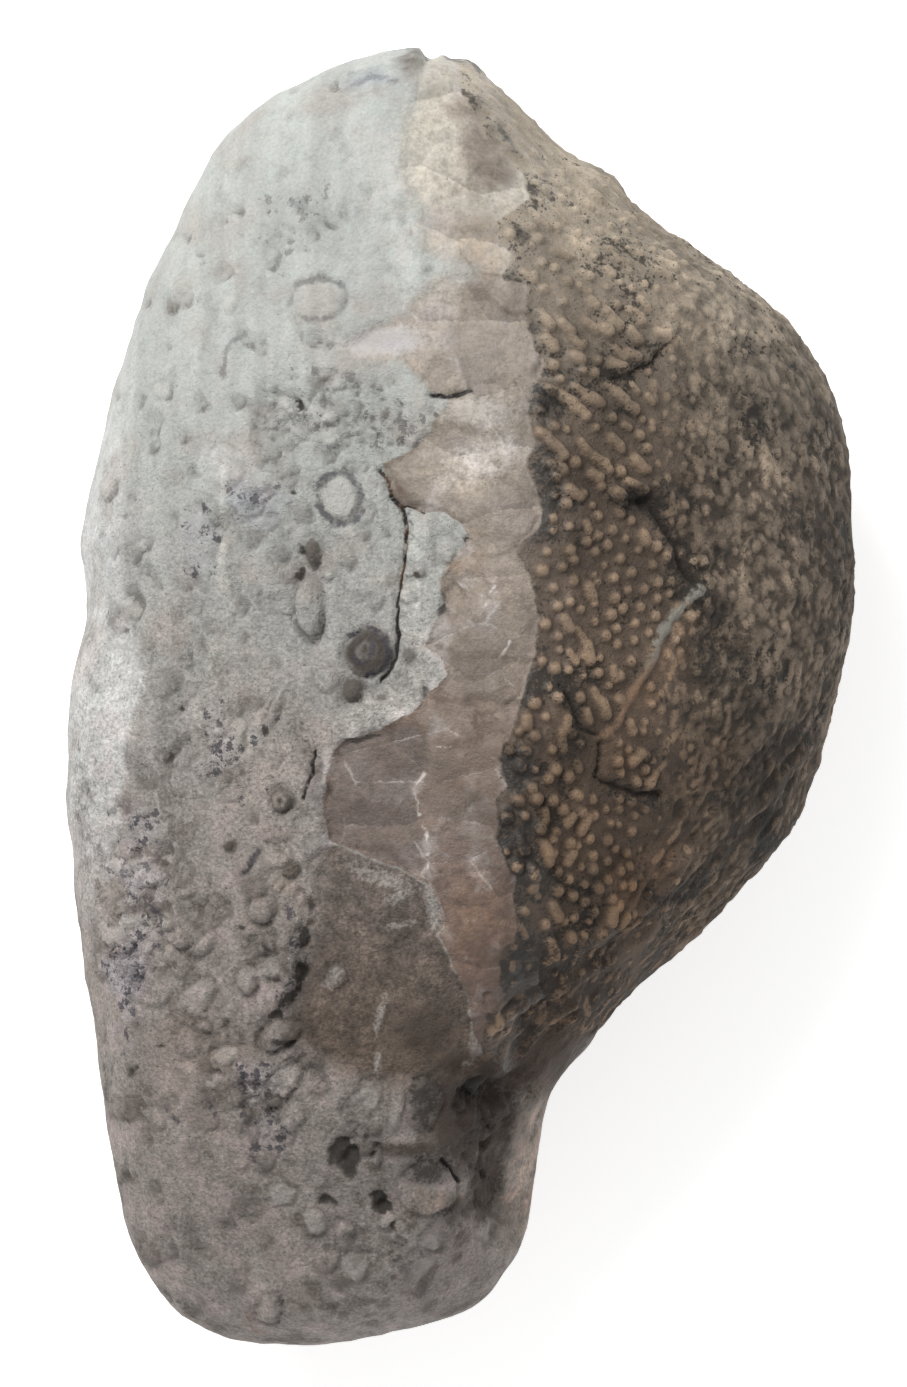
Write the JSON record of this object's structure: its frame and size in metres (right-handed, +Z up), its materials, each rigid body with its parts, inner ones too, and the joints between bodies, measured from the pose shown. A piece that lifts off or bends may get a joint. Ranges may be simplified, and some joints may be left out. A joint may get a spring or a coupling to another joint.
{
  "type": "crinoid fossil",
  "caption": "Sea-worn limestone nodule holding a crinoid cup: knobbly plates on the bulging side, a cut calcite band along the crest and a sloping worn face with stem bits.",
  "frame": {"origin": "centre of the bounding box, on the small flat under the stone that it rests on", "axes": "+Y along the stone's length towards the arm end of the cup, +X towards the knobbly cup wall, +Z up from the surface it lies on"},
  "size_m": [0.044, 0.0723, 0.0315],
  "materials": {
    "fossil_stone": "matte weathered limestone, grey-green on the worn face, pinkish cut calcite along the crest, brown knobbly plates with dark dirt between the knobs"
  },
  "bodies": {
    "root": {"crinoid_fossil": "fossil_stone"}
  },
  "joints": []
}
